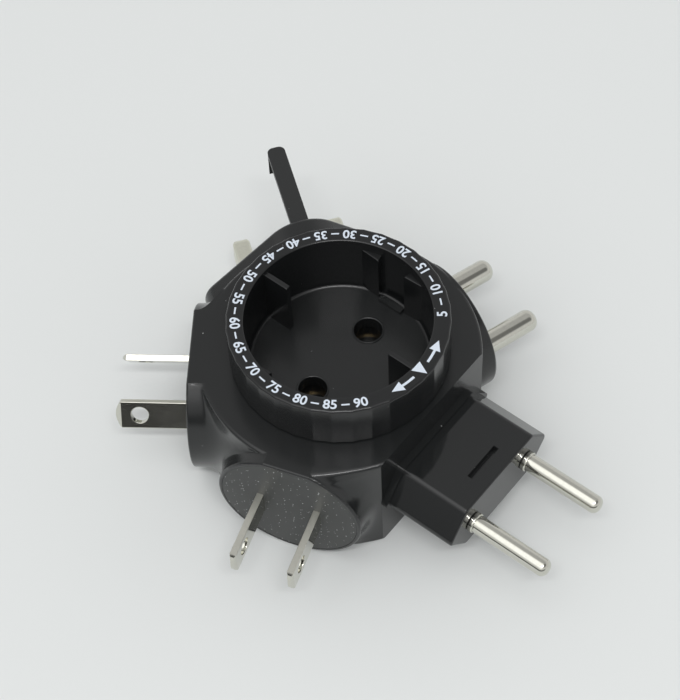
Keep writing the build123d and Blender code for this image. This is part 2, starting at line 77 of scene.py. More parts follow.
def length(name, millimetres, description):
    """A size setting, given in millimetres and kept in metres."""
    return bpy.props.FloatProperty(
        name=name, description=description, default=millimetres * MM, unit="LENGTH", precision=5
    )


def degrees(name, value, description):
    """An angle setting, given in degrees and kept in radians."""
    return bpy.props.FloatProperty(
        name=name, description=description, default=radians(value), subtype="ANGLE"
    )


def bearing(name, azimuth, elevation, description):
    """A direction setting seen from the adapter, given in degrees and kept in radians."""
    turns = (radians(azimuth), radians(elevation))
    return bpy.props.FloatVectorProperty(name=name, description=description, default=turns, size=2)


def colour(name, value, description):
    """A linear colour setting."""
    return bpy.props.FloatVectorProperty(
        name=name, description=description, default=value, subtype="COLOR", min=0, max=1
    )


def amount(name, value, description):
    """A plain number setting."""
    return bpy.props.FloatProperty(name=name, description=description, default=value)


class AdapterHousing(bpy.types.PropertyGroup):
    """Sizes of the hub, its bosses and the plates in them."""

    hub: length("Hub radius", 30.2, "Radius of the hub")
    hub_edge: length("Hub edge", 0.8, "Rounding of the hub's top and bottom edges")
    top: length("Top rise", 15.2, "From the plug axis up to the hub's top")
    foot: length("Foot drop", 16.0, "From the plug axis down to the hub's foot")
    face: length("Face distance", 32.0, "From the dial's axis to the plug faces")
    round_face: length("Round face distance", 30.6, "From the dial's axis to the round-pin face")
    euro_flat: length("Euro flat", 24.6, "From the dial's axis to the hub's flat Euro side")
    us_boss: length("Parallel-blade boss", 16.0, "Radius of the boss with parallel blades")
    au_boss: length("Slanted-blade boss", 17.9, "Radius of the boss with slanted blades")
    round_boss: length("Round-pin boss", 15.2, "Radius of the boss with round pins")
    rim: length("Rim", 0.8, "Width of a round boss's rim round its plate")
    gable_rim: length("Gable rim", 1.3, "Width of the gable's rim round its plate")
    plate: length("Plate thickness", 2.2, "Thickness of the plates")
    plate_edge: length("Plate edge", 0.16, "Rounding of a plate's front edge")
    blend: length("Blend radius", 9.0, "Largest rounding from the slanted-blade boss to the gable")
    soft: length("Softness", 4.0, "How far apart the hub and a skin on it start to melt")
    pull: length("Pull", 13.0, "Longest way to the crossing that bends a skin")
    gable_half: length("Gable half width", 23.303, "Half the gable's width")
    gable_eaves: length("Gable eaves", 2.8, "Height of the gable's corners over the plug axis")
    gable_top: length("Gable top", 20.55, "Height of the gable's rounded peak over the plug axis")
    gable_peak: length("Gable peak radius", 10.0, "Rounding of the gable's peak")
    gable_bend: length("Gable eaves radius", 6.0, "Rounding of the gable's upper corners")
    gable_foot: length("Gable foot radius", 5.0, "Rounding of the gable's lower corners")
    screw_ring: length("Screw circle", 19.7, "Radius of the circle of screws in the base")
    screw_head: length("Screw head", 1.9, "Radius of a screw head")


class AdapterDial(bpy.types.PropertyGroup):
    """Sizes of the grip ring and the socket recess."""

    ridges: bpy.props.IntProperty(name="Ridges", description="Ridges round the ring", default=36)
    flute: length("Flute depth", 0.13, "Depth of each flute below its two ridges")
    recess: length("Recess radius", 19.7, "Radius of the socket recess")
    cup: length("Cup radius", 21.2, "Outer radius of the cup below the ring")
    depth: length("Recess depth", 16, "From the ring's top to the socket floor")
    lift: length("Ring lift", 0.3, "Gap between the hub's top and the ring's foot")
    land_drop: length("Land drop", 0.03, "The land's depth below the print")
    outer_edge: length("Outer edge", 0.55, "Rounding of the ring's outer top edge")
    inner_edge: length("Inner edge", 0.4, "Rounding of the recess's mouth")
    floor_bend: length("Floor bend", 0.9, "Hollow rounding where the recess wall meets the floor")
    hole: length("Pin hole", 3.0, "Radius of the socket's two holes")
    hole_pitch: length("Pin hole pitch", 19.0, "Distance between the socket's two holes")
    hole_lip: length("Pin hole lip", 0.45, "Width of the raised lip round a hole")
    fin_length: length("Fin length", 6.2, "How far a fin reaches in from the recess wall")
    fin_thick: length("Fin thickness", 1.2, "Thickness of a fin")
    fin_drop: length("Fin drop", 1.0, "From the ring's top down to a fin's top")
    wedge_rise: length("Wedge rise", 1.6, "How far a guide wedge stands off the wall")
    wedge_drop: length("Wedge drop", 2.6, "From the ring's top down to a wedge's top")
    wedge_near: degrees("Wedge near", 11, "From a channel's middle to a wedge's steep side")
    wedge_far: degrees("Wedge far", 24, "From a channel's middle to where a wedge meets the wall")


class AdapterPrint(bpy.types.PropertyGroup):
    """Sizes of the white marks on the ring's land."""

    radius: length("Print radius", 21.6, "Middle of the band of marks")
    digit: length("Digit height", 2.15, "Height of the numbers")
    bold: length("Boldness", 0.06, "Outward growth of each digit's outline")
    dash: length("Dash length", 1.7, "Length of the dashes between numbers")
    dash_wide: length("Dash width", 0.34, "Width of the dashes")
    ink: length("Ink thickness", 0.024, "Thickness of the printed layer")


class AdapterPins(bpy.types.PropertyGroup):
    """Sizes of the metal pins and blades."""

    euro_radius: length("Euro pin radius", 2.0, "Radius of the thin round pins")
    euro_pitch: length("Euro pin pitch", 18.7, "Distance between the thin round pins")
    euro_collar: length("Euro pin collar", 2.3, "Radius of the collar at a thin pin's root")
    round_radius: length("Thick pin radius", 2.54, "Radius of the thick round pins")
    round_pitch: length("Thick pin pitch", 16.66, "Distance between the thick round pins")
    round_drop: length("Thick pin drop", 0.4, "Thick pins' depth below the plug axis")
    blade_wide: length("Blade width", 6.35, "Width of the flat blades")
    blade_thick: length("Blade thickness", 1.5, "Thickness of the flat blades")
    blade_hole: length("Blade hole", 1.9, "Radius of the hole in a blade")
    blade_hole_back: length("Blade hole place", 5.3, "From a blade's tip back to its hole")
    blade_nose: length("Blade nose", 1.2, "Bow of a blade's tip")
    blade_bevel: length("Blade bevel", 1.25, "Length of the bevel at a blade's tip")
    blade_edge: length("Blade edge", 0.14, "Rounding of a blade's edges")
    tail: length("Tail", 8.0, "How far a blade or pin reaches in behind its face")
    us_pitch: length("Parallel blade pitch", 12.7, "Distance between the parallel blades")
    us_reach: length("Parallel blade length", 16.4, "Parallel blades' length outside the face")
    us_drop: length("Parallel blade drop", 0.7, "Parallel blades' depth below the plug axis")
    au_pitch: length("Slanted blade pitch", 14.4, "Distance between the slanted blades")
    au_reach: length("Slanted blade length", 17.0, "Slanted blades' length outside the face")
    au_drop: length("Slanted blade drop", 0.9, "Slanted blades' depth below the plug axis")
    au_lean: degrees("Slanted blade lean", 30, "Lean of the slanted blades from upright")
    flat_wide: length("Flat pin width", 4.0, "Width of the flat pins")
    flat_tall: length("Flat pin height", 6.35, "Height of the flat pins")
    flat_pitch: length("Flat pin pitch", 22.22, "Distance between the flat pins")
    flat_reach: length("Flat pin length", 17.7, "Length of the flat pins outside the face")
    flat_drop: length("Flat pin drop", 7.7, "Flat pins' depth below the plug axis")
    flat_edge: length("Flat pin edge", 0.6, "Rounding of a flat pin's long edges")
    flat_nose: length("Flat pin nose", 1.7, "Rounding of a flat pin's tip")


class AdapterFinish(bpy.types.PropertyGroup):
    """Colours of the finishes."""

    black: colour("Black plastic", (0.0130, 0.0140, 0.0142), "Moulded plastic")
    dial: colour("Dial plastic", (0.0085, 0.0092, 0.0096), "Grip ring and recess")
    plate: colour("Plate plastic", (0.042, 0.044, 0.043), "Dusty plates of the plug faces")
    ink: colour("Print", (0.70, 0.77, 0.86), "White print on the dial")
    nickel: colour("Nickel", (0.65, 0.645, 0.58), "Plating of the pins")
    dull: colour("Dull nickel", (0.74, 0.74, 0.64), "Plating of the flat pins")
    # Brass contacts, their colour darkened well below real brass to paint the shade deep in the
    # socket holes where they sit.
    brass: colour("Brass", (0.30, 0.22, 0.11), "Dull contacts inside")
    steel: colour("Steel", (0.52, 0.53, 0.55), "Screws")
    dust: colour("Dust", (0.55, 0.56, 0.56), "Specks on the plastic")


class AdapterStage(bpy.types.PropertyGroup):
    """Camera, light and floor."""

    camera_place: bpy.props.FloatVectorProperty(
        name="Camera place", description="Camera position", unit="LENGTH", precision=5,
        default=(0.15949, -0.18212, 0.38951),
    )
    camera_turn: bpy.props.FloatVectorProperty(
        name="Camera turn", description="Azimuth, elevation and roll of the view", subtype="EULER",
        default=(radians(41.217), radians(55.993), radians(-3.241)),
    )
    lens: amount("Lens", 105.0, "Focal length in millimetres on a 36 mm sensor")
    floor: colour("Floor", (0.735, 0.755, 0.75), "Pale floor")
    sky: amount("Sky", 1.06, "Strength of the light from all round")
    lamp: amount("Lamp", 2.4, "Power of the lamp, in watts")
    lamp_wide: length("Lamp width", 450, "Width of the lamp")
    lamp_tall: length("Lamp height", 40, "Height of the lamp")
    lamp_turn: bearing("Lamp place", -50, 64, "Azimuth and elevation of the lamp")
    glow: amount("Glow", 1.0, "Strength of the broad soft light")
    glow_turn: bearing("Glow place", -80, 66, "Azimuth and elevation of the broad soft light")
    flag_turn: bearing("Flag place", 12, 57, "Azimuth and elevation of the dark card on the right")
    front: degrees("Front", -85, "Azimuth of the dark strip low in front")


def direction(turns):
    """Unit vector at an azimuth and an elevation."""
    aside, above = turns
    return Vector((cos(above) * cos(aside), cos(above) * sin(aside), sin(above)))


def unit(rows):
    """Each row divided by its own length."""
    return rows / np.maximum(np.linalg.norm(rows, axis=-1, keepdims=True), TINY)


def rounded(corners, radii, steps=7):
    """Outline whose corners become arcs that touch both sides.

    With half angle h between a corner's sides, an arc of radius r starts r / tan h along each
    side, and its centre lies r / sin h from the corner along the line that halves it.
    """
    corners = np.asarray(corners, float)
    radii = np.asarray(radii, float)[:, None]
    back = unit(np.roll(corners, 1, 0) - corners)
    ahead = unit(np.roll(corners, -1, 0) - corners)
    half = np.arccos(np.clip(np.sum(back * ahead, 1, keepdims=True), -1, 1)) / 2
    centre = corners + unit(back + ahead) * radii / np.sin(half)
    start = corners + back * radii / np.tan(half) - centre
    end = corners + ahead * radii / np.tan(half) - centre
    first = np.arctan2(start[:, 1], start[:, 0])[:, None]
    last = np.arctan2(end[:, 1], end[:, 0])[:, None]
    sweep = (last - first + pi) % (2 * pi) - pi
    angle = first + sweep * np.linspace(0, 1, steps)
    arcs = centre[:, None] + radii[:, None] * np.stack([np.cos(angle), np.sin(angle)], -1)
    return arcs.reshape(-1, 2)


def turned(profile, columns=64):
    """Surface of revolution about X: (x, r) goes to (x, r cos t, r sin t) round the circle."""
    t = np.linspace(0, 2 * pi, columns + 1)
    x = np.repeat(profile[:, :1], columns + 1, 1)
    return np.stack([x, profile[:, 1:] * np.cos(t), profile[:, 1:] * np.sin(t)], -1)


def convex_rows(corners, insets, middle, columns=96):
    """Rows of a convex outline, one for each inset, and their directions from a middle point.

    In direction t the reach is the least, over the sides, of (d - inset) / cos a, where d is the
    side's distance from the middle and a the angle between t and the side's outward normal.
    """
    corners = np.asarray(corners, float)
    along = unit(np.roll(corners, -1, 0) - corners)
    normal = np.stack([along[:, 1], -along[:, 0]], 1)
    to_corner = corners - middle
    distance = np.sum(to_corner * normal, 1)
    normal = normal * np.sign(distance)[:, None]
    even = np.linspace(-pi, pi, columns, endpoint=False)
    angle = np.concatenate([even, np.arctan2(to_corner[:, 1], to_corner[:, 0])])
    angle = np.unique(np.round(angle, 9))
    angle = np.append(angle, angle[0] + 2 * pi)
    way = np.stack([np.cos(angle), np.sin(angle)], 1)
    slant = way @ normal.T
    spare = np.abs(distance) - np.asarray(insets, float)[:, None, None]
    reach = np.where(slant > TINY, spare / np.maximum(slant, TINY), np.inf).min(2)
    return np.asarray(middle) + reach[..., None] * way, way


def prism(corners, low, high, edge, steps=5, inset=0.0):
    """Upright prism of a convex outline: walls, a rounded top edge and a flat top to its middle."""
    middle = np.mean(corners, 0)
    t = np.linspace(0, pi / 2, steps)
    inset = inset + np.concatenate([[0, 0], edge * (1 - np.cos(t))])
    level = np.concatenate([[low, low], high - edge + edge * np.sin(t), [high]])
    rows, _ = convex_rows(corners, inset, middle)
    rows[0] = middle
    rows = np.concatenate([rows, np.broadcast_to(middle, (1, *rows.shape[1:]))])
    heights = np.broadcast_to(level[:, None, None], (*rows.shape[:2], 1))
    return np.concatenate([rows, heights], -1)


def outwards(points):
    """Points of an upright piece laid along +X: its Z becomes X, its X Y and its Y Z."""
    return points[..., [2, 0, 1]]


def upright(points):
    """Points of a piece along +X stood up along +Z: its X becomes Z, its Y X and its Z Y."""
    return points[..., [1, 2, 0]]


def cut_circle(radius, top, bottom, count=120):
    """Corners round a circle that is cut flat at a top level and a bottom level."""
    top, bottom = min(top, radius), min(bottom, radius)
    cuts = np.arcsin(np.array([top, -bottom]) / radius)
    even = np.linspace(0, 2 * pi, count, endpoint=False)
    angle = np.concatenate([even, cuts % (2 * pi), (pi - cuts) % (2 * pi)])
    angle = np.unique(np.round(angle, 7))
    return np.stack([radius * np.cos(angle), np.clip(radius * np.sin(angle), -bottom, top)], 1)


def turn(points, angle):
    """Points turned about Z."""
    c, s = cos(angle), sin(angle)
    return points @ np.array([[c, s, 0], [-s, c, 0], [0, 0, 1]])


def at_plug(points, side):
    """Points modelled along +X on the plug axis, lifted and turned to one side of the hub."""
    return turn(points + [0, 0, PLUG_HEIGHT], side * PLUG_STEP)


def linked(name, data):
    """A new object in the scene."""
    made = bpy.data.objects.new(name, data)
    bpy.context.scene.collection.objects.link(made)
    return made


def piece(name, grids, finish, body, sharp=SMOOTH_UP_TO, lay=None):
    """One object from grids of points, welded, with its faces outwards and smooth.

    Its UV map runs along each grid's columns and rows, or is laid as given, in metres.
    """
    points, quads, spread, base = [], [], [], 0
    for grid in grids:
        rows, columns = grid.shape[:2]
        index = base + np.arange(rows * columns).reshape(rows, columns)
        square = np.stack([index[:-1, :-1], index[1:, :-1], index[1:, 1:], index[:-1, 1:]], -1)
        quads.append(square.reshape(-1, 4))
        points.append(grid.reshape(-1, 3))
        steps = np.linalg.norm(np.diff(grid, axis=0), axis=-1).max(1)
        down = np.concatenate([[0], np.cumsum(steps)])
        girth = np.linalg.norm(np.diff(grid, axis=1), axis=-1).sum(1).max()
        across = np.linspace(0, 1, columns) * girth
        spread.append(np.stack(np.meshgrid(across, down), -1).reshape(-1, 2))
        base += rows * columns
    spread = [flat.reshape(-1, 2) for flat in lay] if lay else spread
    mesh = bpy.data.meshes.new(name)
    mesh.from_pydata(np.concatenate(points).tolist(), [], np.concatenate(quads).tolist())
    corner = np.zeros(len(mesh.loops), np.int32)
    mesh.loops.foreach_get("vertex_index", corner)
    layer = mesh.uv_layers.new(name="Surface")
    layer.data.foreach_set("uv", np.concatenate(spread)[corner].ravel())
    return dressed(name, mesh, finish, body, sharp)


def dressed(name, mesh, finish, body, sharp=SMOOTH_UP_TO):
    """The object of a mesh: welded, outward, smooth up to an angle, finished, riding on a body."""
    shell = bmesh.new()
    shell.from_mesh(mesh)
    bmesh.ops.remove_doubles(shell, verts=shell.verts, dist=WELD)
    bmesh.ops.recalc_face_normals(shell, faces=shell.faces)
    shell.to_mesh(mesh)
    shell.free()
    mesh.polygons.foreach_set("use_smooth", np.ones(len(mesh.polygons), bool))
    mesh.set_sharp_from_angle(angle=radians(sharp))
    mesh.materials.append(coat(finish))
    made = linked(name, mesh)
    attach(made, body)
    return made


def feed(tree, sockets, values):
    """Set or link sockets by name or number."""
    for key, value in values.items():
        if isinstance(value, bpy.types.NodeSocket):
            tree.links.new(value, sockets[key])
        else:
            sockets[key].default_value = value


def add(tree, kind, inputs=None, **settings):
    """A shader node with its settings and its inputs."""
    node = tree.nodes.new("ShaderNode" + kind)
    for key, value in settings.items():
        setattr(node, key, value)
    feed(tree, node.inputs, inputs or {})
    return node


def maths(tree, operation, *values, clamp=False):
    """The result of a maths node, whose values are numbers or sockets."""
    inputs = dict(enumerate(values))
    return add(tree, "Math", inputs, operation=operation, use_clamp=clamp).outputs[0]


def mixed(tree, share, first, last):
    """A colour at a share of the way from the first to the last."""
    first_socket, last_socket, result = 6, 7, 2
    inputs = {0: share, first_socket: (*first, 1), last_socket: (*last, 1)}
    return add(tree, "Mix", inputs, data_type="RGBA").outputs[result]


def bump(tree, height, strength, distance):
    """The normal of a bump with a given height."""
    inputs = {"Height": height, "Strength": strength, "Distance": distance}
    return add(tree, "Bump", inputs).outputs["Normal"]


def node_group(name, inputs, outputs):
    """A new shader node group with number sockets, what it is given and where its results go."""
    group = bpy.data.node_groups.new(name, "ShaderNodeTree")
    new_socket = group.interface.new_socket
    for label, value in inputs.items():
        socket = new_socket(name=label, in_out="INPUT", socket_type="NodeSocketFloat")
        socket.default_value = value
    for label in outputs:
        new_socket(name=label, in_out="OUTPUT", socket_type="NodeSocketFloat")
    given = group.nodes.new("NodeGroupInput").outputs
    return group, given, group.nodes.new("NodeGroupOutput").inputs


def swing(tree, noise, amplitude):
    """A noise from 0 to 1 moved to swing about zero."""
    return maths(tree, "MULTIPLY", maths(tree, "SUBTRACT", noise, 0.5), amplitude)


def grain_group(name):
    """Fine moulded grain with slow flow marks: heights and a change of roughness."""
    inputs = {"Scale": 5200.0, "Spread": 0.06}
    group, given, results = node_group(name, inputs, ("Height", "Roughness"))
    at = add(group, "TexCoord").outputs["Object"]
    fine = add(group, "TexNoise", {"Vector": at, "Scale": given["Scale"], "Detail": 3.0})
    slow = {"Vector": at, "Scale": 160.0, "Detail": 4.0, "Roughness": 0.6}
    marks = add(group, "TexNoise", slow).outputs["Fac"]
    rough = swing(group, marks, given["Spread"])
    feed(group, results, {"Height": fine.outputs["Fac"], "Roughness": rough})
    return group


def speck_group(name):
    """Sparse dust: round specks in a share of the cells of a fine cell pattern."""
    inputs = {"Scale": 620.0, "Share": 0.1, "Size": 0.07}
    group, given, results = node_group(name, inputs, ("Mask",))
    at = add(group, "TexCoord").outputs["Object"]
    cells = add(group, "TexVoronoi", {"Vector": at, "Scale": given["Scale"]}).outputs
    pick, size, _ = add(group, "SeparateColor", {0: cells["Color"]}).outputs
    chosen = maths(group, "LESS_THAN", pick, given["Share"])
    width = maths(group, "MULTIPLY", size, given["Size"])
    inside = maths(group, "LESS_THAN", cells["Distance"], width)
    feed(group, results, {"Mask": maths(group, "MULTIPLY", chosen, inside)})
    return group


def drawn_group(name):
    """Fine lines along a drawn or stamped metal piece: heights and a change of roughness."""
    inputs = {"Across": 9000.0, "Along": 220.0}
    group, given, results = node_group(name, inputs, ("Height", "Roughness"))
    flat = add(group, "TexCoord").outputs["UV"]
    scale = add(group, "CombineXYZ", {0: given["Across"], 1: given["Along"]}).outputs[0]
    stretch = add(group, "VectorMath", {0: flat, 1: scale}, operation="MULTIPLY").outputs[0]
    noise = {"Vector": stretch, "Scale": 1.0, "Detail": 4.0}
    lines = add(group, "TexNoise", noise).outputs["Fac"]
    feed(group, results, {"Height": lines, "Roughness": swing(group, lines, 0.16)})
    return group


GROUPS = {"Moulded Grain": grain_group, "Dust Specks": speck_group, "Drawn Lines": drawn_group}


def use_group(tree, name, **values):
    """What a group gives in a material; the group is made the first time it is asked for."""
    group = bpy.data.node_groups.get(name) or GROUPS[name](name)
    return add(tree, "Group", values, node_tree=group).outputs


def plastic(
    tree, tint, roughness, grain, spread=0.06, dust=0.1, fleck=0.07, cells=620.0, bend=1.5
):
    """Moulded plastic: grain as bump, flow marks in the roughness, a few dull dust specks."""
    duller = 0.5
    texture = use_group(tree, "Moulded Grain", Spread=spread)
    specks = use_group(tree, "Dust Specks", Scale=cells, Share=dust, Size=fleck)["Mask"]
    rough = maths(tree, "ADD", texture["Roughness"], roughness)
    return {
        "Base Color": mixed(tree, specks, tint, bpy.context.scene.adapter_finish.dust),
        "Roughness": maths(tree, "MULTIPLY_ADD", specks, duller, rough, clamp=True),
        "Normal": bump(tree, texture["Height"], grain, 0.02 * MM),
        "IOR": bend,
    }


def plated(tree, tint, roughness, lines, sheared=False):
    """Plated metal with fine drawn lines and slow changes of tone.

    Past the flat of a blade across its UV map, where it was sheared off, it is duller.
    """
    dark, light, duller = 0.9, 1.06, 0.3
    marks = use_group(tree, "Drawn Lines")
    texture = use_group(tree, "Moulded Grain", Scale=1400.0, Spread=0.12)
    rough = maths(tree, "ADD", marks["Roughness"], texture["Roughness"])
    rough = maths(tree, "ADD", rough, roughness, clamp=True)
    if sheared:
        pins = bpy.context.scene.adapter_pins
        across = add(tree, "SeparateXYZ", {0: add(tree, "TexCoord").outputs["UV"]}).outputs["X"]
        flat = pins.blade_wide / 2 - pins.blade_edge
        past = maths(tree, "GREATER_THAN", maths(tree, "ABSOLUTE", across), flat)
        rough = maths(tree, "MULTIPLY_ADD", past, duller, rough, clamp=True)
    tones = [[min(1.0, share * part) for part in tint] for share in (dark, light)]
    return {
        "Base Color": mixed(tree, texture["Height"], *tones),
        "Roughness": rough,
        "Normal": bump(tree, marks["Height"], lines, 0.01 * MM),
        "Metallic": 1.0,
    }


def pad_print(tree, tint, roughness):
    """Pad print, slightly uneven in tone."""
    thin = 0.88
    texture = use_group(tree, "Moulded Grain", Scale=2600.0, Spread=0.1)
    return {
        "Base Color": mixed(tree, texture["Height"], [thin * part for part in tint], tint),
        "Roughness": maths(tree, "ADD", texture["Roughness"], roughness),
    }


FINISHES = {
    "Satin Black": (plastic, "black", dict(roughness=0.2, grain=0.35)),
    "Plate Black": (plastic, "plate", dict(
        roughness=0.42, grain=0.2, dust=0.6, fleck=0.23, cells=1700.0, bend=1.42)),
    "Matt Black": (plastic, "black", dict(roughness=0.42, grain=0.3, dust=0.03)),
    "Gloss Black": (plastic, "black", dict(roughness=0.06, grain=0.04, spread=0.05)),
    "Socket Black": (plastic, "black", dict(roughness=0.25, grain=0.2)),
    "Dial Black": (plastic, "dial", dict(roughness=0.24, grain=0.14)),
    "Nickel": (plated, "nickel", dict(roughness=0.09, lines=0.12)),
    "Dull Nickel": (plated, "dull", dict(roughness=0.38, lines=0.15)),
    "Stamped Nickel": (plated, "nickel", dict(roughness=0.07, lines=0.1, sheared=True)),
    # Brass tint darkened to paint the shade inside the socket holes.
    "Contact Brass": (plated, "brass", dict(roughness=0.28, lines=0.2)),
    "Screw Steel": (plated, "steel", dict(roughness=0.3, lines=0.2)),
    "White Print": (pad_print, "ink", dict(roughness=0.5)),
}


def new_material(name):
    """A new node material with the inputs of its shader."""
    material = bpy.data.materials.new(name)
    material.use_nodes = True
    return material, material.node_tree.nodes["Principled BSDF"].inputs


def coat(name):
    """The material of a finish, made the first time it is asked for."""
    material = bpy.data.materials.get(name)
    if not material:
        make, tint, values = FINISHES[name]
        material, sockets = new_material(name)
        tree = material.node_tree
        tint = getattr(bpy.context.scene.adapter_finish, tint)
        feed(tree, sockets, make(tree, tint, **values))
    return material


def finish_nodes(finish, *names):
    """Give CAD nodes a finish."""
    for name in names:
        node = frame["nodes"][name]
        node.data.materials.clear()
        node.data.materials.append(coat(finish))


class ADAPTER_OT_housing(bpy.types.Operator):
    """Finish the housing, its cover, the Euro plug, the socket floor and the earth pin"""

    bl_idname = "adapter.housing"
    bl_label = "Housing"

    def execute(self, context):
        finish_nodes("Satin Black", "main_housing", "base_cover")
        finish_nodes("Gloss Black", "euro_body")
        finish_nodes("Socket Black", "socket_floor")
        finish_nodes("Matt Black", "earth_pin")
        return {"FINISHED"}


class ADAPTER_OT_blends(bpy.types.Operator):
    """Round the hollows between the two blade bosses, the hub and their neighbours"""

    bl_idname = "adapter.blends"
    bl_label = "Boss blends"

    def hollow(self, sizes, reach):
        """Surface of a ball that rolls between the hub and the slanted-blade boss, closed inside.

        At angle t round the boss the ball's middle is one ball radius outside both: (boss + ball)
        from the plug's axis and (hub + ball) from the dial's. It touches the boss at the distance
        sqrt((hub + ball)^2 - cos^2 t (boss + ball)^2), which stays behind the rim. Between its two
        touching points the surface turns from the hub's normal to the boss's at an even rate, and
        what would pass the hub's top or foot is laid flat there.
        """
        steepest, blunt, fade = 0.95, 4.0, 6
        seam_in, hub_in, boss_in, end_in = np.array([0.3, 1.0, 0.6, 1.2]) * MM
        boss = sizes.au_boss
        low, high = (asin(min(cap / boss, steepest)) for cap in (sizes.foot, sizes.top))
        t = np.linspace(-low, high, 90)[:, None]
        square = np.cos(t) ** 2
        half = sizes.hub - square * boss
        rest = reach**2 + square * boss**2 - sizes.hub**2
        limit = rest / (half + np.sqrt(half**2 + (1 - square) * rest))
        least = (sizes.blend**-blunt + limit**-blunt) ** (-1 / blunt)
        ball = least * (1 - np.clip(-t / low, 0, 1) ** fade) + WELD
        y, z = (boss + ball) * np.cos(t), (boss + ball) * np.sin(t)
        x = np.sqrt((sizes.hub + ball) ** 2 - y**2)
        middle = np.concatenate([x, y, z], 1)[:, None]
        to_hub = unit(np.concatenate([x, y, 0 * z], 1))[:, None]
        to_boss = np.concatenate([0 * t, np.cos(t), np.sin(t)], 1)[:, None]
        wide = np.arccos(np.sum(to_hub * to_boss, -1))
        over = np.abs(z) - np.where(t > 0, sizes.top, sizes.foot)
        level = over * np.sin(wide) / np.maximum(ball * np.abs(np.sin(t)), TINY)
        edge = np.minimum(np.arcsin(np.clip(level, 0, 1)), wide)
        before, after = np.linspace(0, 1, 6)[:-1], np.linspace(0, 1, 25)
        part = np.concatenate([edge * before, edge + (wide - edge) * after], 1)
        wide, part = wide[..., None], part[..., None]
        way = (np.sin(wide - part) * to_hub + np.sin(part) * to_boss) / np.sin(wide)
        ball = ball[:, None]
        arc = middle - ball * way
        halfway = unit(to_hub + to_boss)
        seam = middle - halfway * (ball / np.sum(halfway * to_hub, -1, keepdims=True) + seam_in)
        first, last = arc[:, :1] - hub_in * to_hub, arc[:, -1:] - boss_in * to_boss
        strip = np.concatenate([seam, first, arc, last, seam], 1)
        margin = np.full(strip.shape[1], 0.03 * MM)
        margin[[0, -1]] = 0.5 * MM
        strip[..., 2] = np.clip(strip[..., 2], margin - sizes.foot, sizes.top - margin)
        strip = np.concatenate([strip, strip[-1:] - [0, end_in, 0]])
        return strip * [1, -1, 1]

    def skin(self, sizes, z, begin, end, ways, soft):
        """Skin from behind a boss's rim to another place round the hub, closed inside the housing.

        At height z a cubic curve joins the two ends in plan: its middle points lie on the lines
        through the ends, a part of the way to where those cross. Its distance from the dial's axis
        is then a soft maximum of its own and the hub's: the larger, plus k h^3 / 6 with
        h = 1 - difference / k. Its top and bottom edges are rounded as the hub's are, and sharper
        where it stands out from the hub.
        """
        share, fade, sharper = 0.55, 0.25, 0.9
        shortest, far_out, proud, inside, below = np.array([0.2, 2, 0.02, 1.3, 0.005]) * MM
        gap = begin - end
        area = ways[0][0] * ways[1][1] - ways[0][1] * ways[1][0]
        pulls = [(gap[:, :1] * way[1] - gap[:, 1:] * way[0]) / area for way in ways[::-1]]
        pulls = [share * np.clip(pull, shortest, sizes.pull) for pull in pulls]
        points = np.stack([begin, begin - pulls[0] * ways[0], end - pulls[1] * ways[1], end], 1)
        t = np.linspace(0, 1, 121)[:, None]
        weights = [(1 - t) ** 3, 3 * t * (1 - t) ** 2, 3 * t**2 * (1 - t), t**3]
        plan = np.concatenate(weights, 1) @ points
        own = np.linalg.norm(plan, axis=-1)
        from_end = np.clip(np.minimum(t, 1 - t)[:, 0] / fade, 0, 1)
        melt = soft * (3 - 2 * from_end) * from_end**2 + WELD
        near = np.clip(1 - np.abs(own - sizes.hub) / melt, 0, 1)
        reach = np.maximum(own, sizes.hub) + melt / 6 * near**3 + proud
        edge = sizes.hub_edge * (1 - sharper * np.clip((reach - sizes.hub) / far_out, 0, 1))
        past = np.clip(np.maximum(z - sizes.top, -z - sizes.foot) + edge, 0, edge)
        reach = reach - edge + np.sqrt(edge**2 - past**2)
        inner = np.full_like(reach, sizes.hub - inside)
        reach[:, [0, -1]] = inner[:, [0, -1]]
        level = np.minimum(z, sizes.top - below)[..., None]
        level = np.broadcast_to(level, (*reach.shape, 1))
        outer, inner = (
            np.concatenate([unit(plan) * far[..., None], level], -1) for far in (reach, inner)
        )
        return np.concatenate([outer, inner[::-1], outer[:1]])

    def execute(self, context):
        sizes = context.scene.adapter_housing
        lowest, corner_gap, crisp = radians(-86), 0.003, 1 / 8
        climb = np.linspace(lowest, asin(sizes.top / sizes.us_boss), 110)
        z = sizes.us_boss * np.sin(climb)[:, None]
        au, us = (np.sqrt(radius**2 - z**2) for radius in (sizes.au_boss, sizes.us_boss))
        reach = sizes.face - sizes.rim - 0.1 * MM
        along, aside = np.eye(2)
        c, s = cos(PLUG_STEP), sin(PLUG_STEP)
        next_plug = np.array([c, s])
        begin, end = reach * along + au * aside, reach * next_plug + us * [s, -c]
        front = self.skin(sizes, z, begin, end, (along, next_plug), sizes.soft)
        corner = PLUG_STEP - np.arccos(sizes.euro_flat / sizes.hub) - corner_gap
        round_hub = np.array([-sin(corner), cos(corner)])
        begin = reach * along + us * aside
        end = np.repeat([[sizes.hub * cos(corner), sizes.hub * sin(corner)]], len(z), 0)
        right = self.skin(sizes, z, begin, end, (along, round_hub), crisp * sizes.soft)
        grids = (
            ("us_blend", US, right),
            ("au_blend", AU, self.hollow(sizes, reach)),
            ("front_hollow", AU, front),
        )
        for name, place, grid in grids:
            grid = at_plug(grid, place)
            piece(name, [grid], "Satin Black", "housing", sharp=40)
        return {"FINISHED"}


